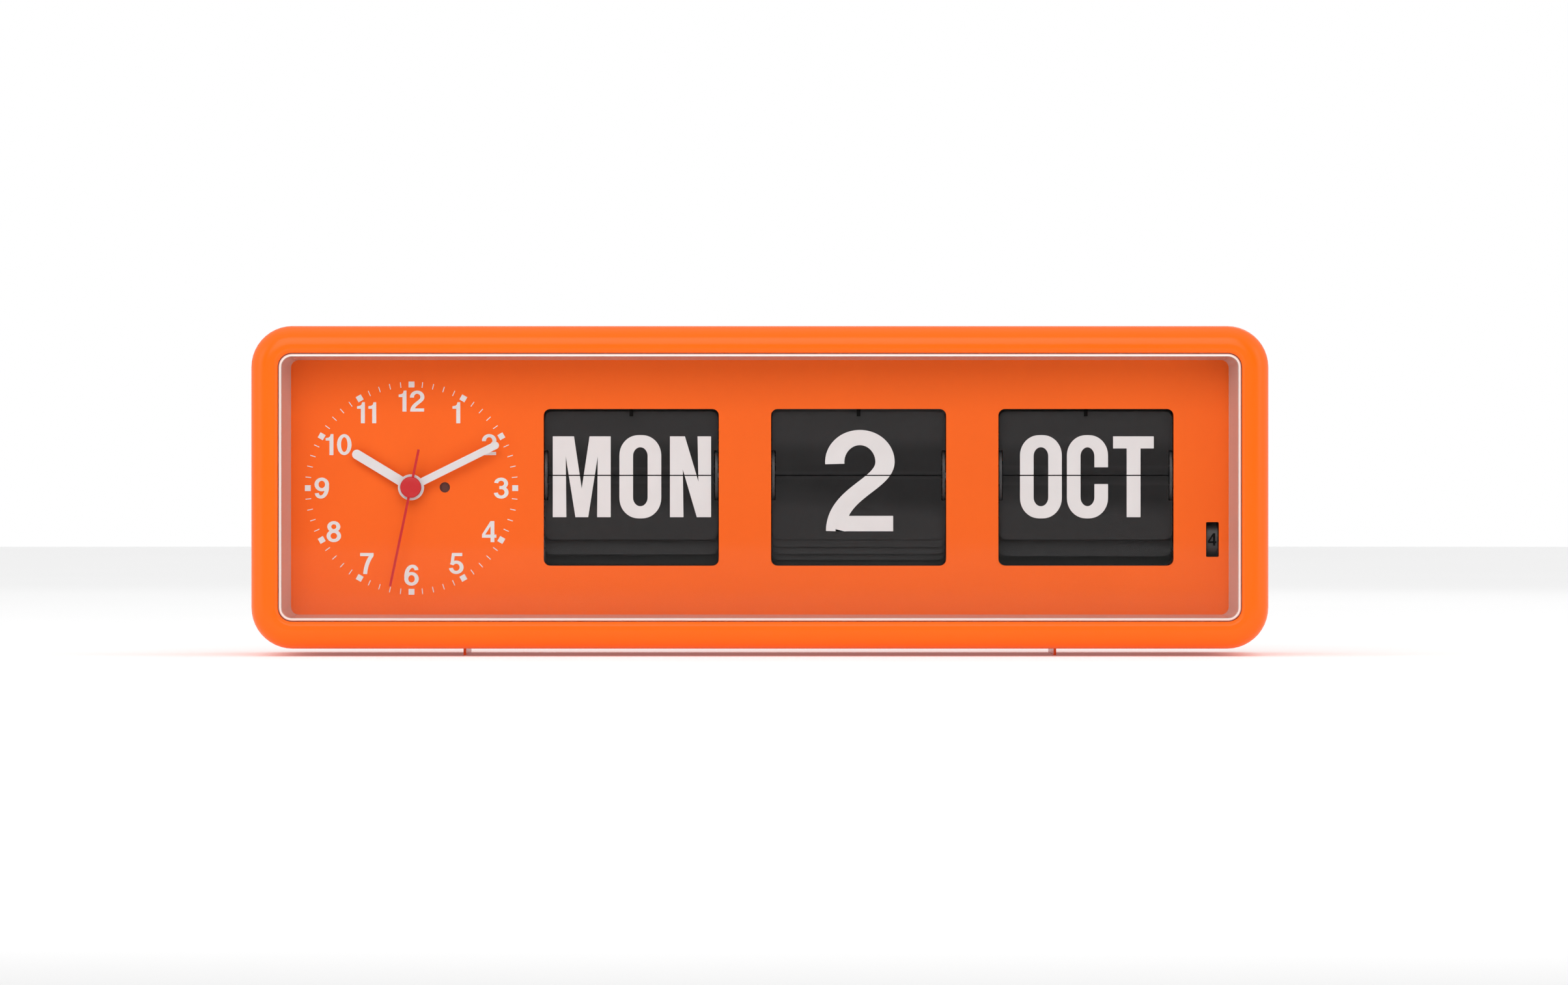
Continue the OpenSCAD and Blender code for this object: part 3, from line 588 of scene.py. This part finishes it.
def print_leap_wheel():
    """Four year numbers around the leap-year wheel."""
    pivot = joint_at("leap_wheel_turn")
    low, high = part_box("leap_wheel")
    radius = (high.z - low.z) / 2
    height = 4.7 * MM
    row = 0.3 * MM            # short enough for the print to lie on the wheel's curve
    meshes = []
    for k, char in enumerate("4123"):
        mesh = text_mesh(char, height, pivot.x, -height / 2, -radius - PRINT, 0, PRINT)
        cut_in_rows(mesh, row)
        for v in mesh.vertices:
            angle = v.co.z / radius + math.radians(90 * k)
            out = -v.co.y
            v.co.y = pivot.y - out * math.cos(angle)
            v.co.z = pivot.z + out * math.sin(angle)
        meshes.append(mesh)
    add_object("leap_wheel_numbers", joined("leap", meshes), print_black, "leap_wheel")


# ---------------------------------------------------------------- lens

def swept_frame(name, profile, mat, body):
    """Sweeps a closed profile round the case. Each of its points is (out from the line of the corner
    centres, y, lean of the two end walls towards the middle)."""
    steps = 12                # points round each corner, less one
    corner_x = case_hi.x - CORNER_R
    corner_z = (case_hi.z - case_lo.z) / 2 - CORNER_R
    bm = bmesh.new()
    rings = []
    for cx, cz, start in ((1, 1, 0), (-1, 1, 90), (-1, -1, 180), (1, -1, 270)):
        for i in range(steps + 1):
            a = math.radians(start + 90 * i / steps)
            rings.append([bm.verts.new((cx * (corner_x - lean) + out * math.cos(a), y,
                                        mid_z + cz * corner_z + out * math.sin(a)))
                          for out, y, lean in profile])
    for i, here in enumerate(rings):
        there = rings[(i + 1) % len(rings)]
        for j in range(len(profile)):
            k = (j + 1) % len(profile)
            bm.faces.new((here[j], here[k], there[k], there[j]))
    bmesh.ops.recalc_face_normals(bm, faces=bm.faces)
    mesh = bpy.data.meshes.new(name)
    bm.to_mesh(mesh)
    bm.free()
    mesh.shade_smooth()
    mesh.set_sharp_from_angle(angle=math.radians(35))
    return add_object(name, mesh, mat, body)


def build_lens():
    """The clear front in four pieces: its plate, rounded edge (tinted near-white and nearly opaque, a painted
    highlight), side walls and flange.
    """
    edge = 4.95 * MM          # outer edge, out from the line of the corner centres
    thick = 1.6 * MM          # thickness of the plate
    rounding = 0.9 * MM       # radius of the rounded edge, which carries the painted highlight
    rim_in = edge - rounding
    half_x = case_hi.x - CORNER_R + rim_in
    half_z = (case_hi.z - case_lo.z) / 2 - CORNER_R + rim_in
    plate = filled([round_box(-half_x, -half_z, half_x, half_z, rim_in, rim_in)])
    plate.transform(Matrix(((1, 0, 0, 0), (0, 0, -thick, lens_face + thick / 2), (0, 1, 0, mid_z),
                            (0, 0, 0, 1))))
    window = add_object("lens_window", plate, lens_clear, "case")
    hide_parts("lens")
    seat = lens_face + 2.4 * MM           # where the side walls begin
    rim = [(rim_in + out, lens_face + rounding - y, 0)
           for out, y in arc(0, 0, rounding, rounding, 90, 0, 6)]
    rim += [(edge, seat, 0), (rim_in, seat, 0)]
    # The rounded edge, drawn with the painted-highlight tint
    swept_frame("lens_rounded_edge_painted_highlight", rim, lens_edge_painted_highlight, "case")
    foot = dial_face - 0.05 * MM
    lean = 1.4 * MM
    wall = [(3.9 * MM, seat, 0), (edge - 0.1 * MM, seat, 0), (edge - 0.2 * MM, seat + 2 * MM, 0),
            (4.2 * MM, foot, lean), (2.9 * MM, foot, lean)]
    swept_frame("lens_side_walls", wall, lens_side, "case")
    flange_out = 9.0 * MM
    flange_front, flange_back = seat + 0.1 * MM, seat + 1.5 * MM
    flange = [(edge, flange_front, 0), (flange_out, flange_front, 0),
              (flange_out, flange_back, 0), (edge, flange_back, 0)]
    swept_frame("lens_flange", flange, lens_side, "case")


# ---------------------------------------------------------------- small pieces

def lathe(name, profile, center, axis, mat, body, steps=64):
    """Turns a profile of (radius, height) points about an axis, height along it."""
    bm = bmesh.new()
    rings = []
    for i in range(steps):
        a = 2 * math.pi * i / steps
        rings.append([bm.verts.new((r * math.cos(a), r * math.sin(a), h)) for r, h in profile])
    for i, here in enumerate(rings):
        there = rings[(i + 1) % steps]
        for j in range(len(profile) - 1):
            bm.faces.new((here[j], there[j], there[j + 1], here[j + 1]))
    bmesh.ops.remove_doubles(bm, verts=bm.verts, dist=1e-7)
    bmesh.ops.recalc_face_normals(bm, faces=bm.faces)
    mesh = bpy.data.meshes.new(name)
    bm.to_mesh(mesh)
    bm.free()
    aim = Vector((0, 0, 1)).rotation_difference(Vector(axis)).to_matrix().to_4x4()
    mesh.transform(Matrix.Translation(center) @ aim)
    mesh.shade_smooth()
    mesh.set_sharp_from_angle(angle=math.radians(40))
    return add_object(name, mesh, mat, body)


def build_hub_cap():
    """The domed red cap on the second hand's hub."""
    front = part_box("second_hand")[0].y
    r = 3.94 * MM
    height = 0.9 * MM
    drop = 0.35 * MM          # how far the dome falls towards its rim
    dome = [(0, height)]
    for degrees in range(10, 80, 10):
        a = math.radians(degrees)
        dome.append((r * math.sin(a), height - drop * (1 - math.cos(a))))
    dome += [(r, drop), (r, 0), (0, 0)]
    lathe("second_hand_hub_cap", dome, (hub.x, front + 0.01 * MM, mid_z), (0, -1, 0),
          hand_red, "seconds_train")


def build_button_springs():
    """A cone-shaped coil under each set button."""
    wire = 0.25 * MM          # radius of the wire
    wide, narrow = 4.4 * MM, 2.6 * MM     # radii of the cone's ends
    turns, per_turn, sides = 3.5, 32, 10
    low_y, high_y = (corner.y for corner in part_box("button_springs"))
    for register in REGISTERS:
        button_lo, button_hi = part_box(register + "_button")
        x, z = (button_lo.x + button_hi.x) / 2, (button_lo.z + button_hi.z) / 2
        bm = bmesh.new()
        rings = []
        steps = int(turns * per_turn)
        for i in range(steps + 1):
            t = i / steps
            a = 2 * math.pi * turns * t
            radius = wide - (wide - narrow) * t
            y = low_y + wire + (high_y - low_y - 2 * wire) * t
            ring = []
            for k in range(sides):
                b = 2 * math.pi * k / sides
                r = radius + wire * math.cos(b)
                ring.append(bm.verts.new((x + r * math.cos(a), y + wire * math.sin(b), z + r * math.sin(a))))
            rings.append(ring)
        for here, there in zip(rings, rings[1:]):
            for k in range(sides):
                bm.faces.new((here[k], here[(k + 1) % sides], there[(k + 1) % sides], there[k]))
        bm.faces.new(rings[0])
        bm.faces.new(rings[-1][::-1])
        bmesh.ops.recalc_face_normals(bm, faces=bm.faces)
        mesh = bpy.data.meshes.new(register + "_button_spring")
        bm.to_mesh(mesh)
        bm.free()
        mesh.shade_smooth()
        mesh.set_sharp_from_angle(angle=math.radians(50))
        spring = add_object(register + "_button_spring", mesh, steel, "case")
        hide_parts("button_springs")
        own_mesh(spring)


# ---------------------------------------------------------------- stage

# Brightness of the room by direction, from straight ahead of the clock (0) to straight behind it (1)
ROOM = ((0.05, 0.12), (0.275, 1.0), (0.6, 1.0), (0.9, 0.6))


def build_stage():
    bpy.ops.mesh.primitive_circle_add(vertices=96, radius=6, fill_type="NGON", location=(0, 0, -0.0002))
    floor = bpy.context.object
    floor.name = "floor"
    paint = surface("pale_floor", (0.93, 0.93, 0.93), 0.7, 0.01, 3, 0.0)
    paint.node_tree.nodes["Principled BSDF"].inputs["Emission Color"].default_value = (1, 1, 1, 1)
    paint.node_tree.nodes["Principled BSDF"].inputs["Emission Strength"].default_value = 0.12
    floor.data.materials.append(paint)
    world = bpy.data.worlds.new("studio")
    scene.world = world
    world.use_nodes = True
    nodes, links = world.node_tree.nodes, world.node_tree.links
    background = nodes["Background"]
    background.inputs["Color"].default_value = (1, 1, 1, 1)
    direction = nodes.new("ShaderNodeTexCoord")
    parts = nodes.new("ShaderNodeSeparateXYZ")
    links.new(direction.outputs["Generated"], parts.inputs["Vector"])
    backward = nodes.new("ShaderNodeMapRange")
    backward.inputs["From Min"].default_value = -1.0
    links.new(parts.outputs["Y"], backward.inputs["Value"])
    room = nodes.new("ShaderNodeValToRGB")
    links.new(backward.outputs["Result"], room.inputs["Fac"])
    while len(room.color_ramp.elements) < len(ROOM):
        room.color_ramp.elements.new(0.5)
    for stop, (place, level) in zip(room.color_ramp.elements, ROOM):
        stop.position = place
        stop.color = (level, level, level, 1)
    seen = nodes.new("ShaderNodeLightPath")
    strength = nodes.new("ShaderNodeMapRange")
    links.new(room.outputs["Color"], strength.inputs["To Min"])
    strength.inputs["To Max"].default_value = 1.0
    links.new(seen.outputs["Is Camera Ray"], strength.inputs["Value"])
    links.new(strength.outputs["Result"], background.inputs["Strength"])

    def softbox(name, place, target, size, power):
        light = bpy.data.lights.new(name, "AREA")
        light.shape = "RECTANGLE"
        light.size, light.size_y = size
        light.energy = power
        obj = bpy.data.objects.new(name, light)
        scene.collection.objects.link(obj)
        obj.location = place
        obj.rotation_euler = (Vector(target) - Vector(place)).to_track_quat("-Z", "Y").to_euler()

    softbox("key_softbox", (-0.15, -1.7, 0.95), (0, 0, mid_z), (1.6, 1.1), 15)
    softbox("top_softbox", (0, 0.1, 1.5), (0, 0, mid_z), (1.4, 0.9), 0.8)
    softbox("left_softbox", (-1.5, -0.7, 0.5), (0, 0, mid_z), (0.7, 0.9), 2)
    softbox("right_softbox", (1.5, -0.7, 0.5), (0, 0, mid_z), (0.7, 0.9), 2)
    softbox("back_softbox", (0.3, 1.8, 1.0), (0, 0, mid_z), (1.2, 0.8), 1.5)


def build_camera():
    lens = 200.0
    view_width = 0.5846          # width of the view at the object
    camera = bpy.data.cameras.new("camera")
    sensor = 36
    camera.lens = lens
    camera.sensor_width = sensor
    camera.shift_x = 0.0154
    camera.shift_y = -0.0033
    camera.clip_end = 30
    obj = bpy.data.objects.new("camera", camera)
    scene.collection.objects.link(obj)
    obj.location = (0, case_lo.y - view_width * lens / sensor, mid_z)
    obj.rotation_euler = (math.radians(90), 0, 0)
    scene.camera = obj
    scene.view_settings.view_transform = "Standard"


build_camera()
dress_cad_nodes()
print_dial()
for register, (shown, following) in REGISTERS.items():
    print_register(register, shown, following)
print_leap_wheel()
build_lens()
build_hub_cap()
build_button_springs()
build_stage()
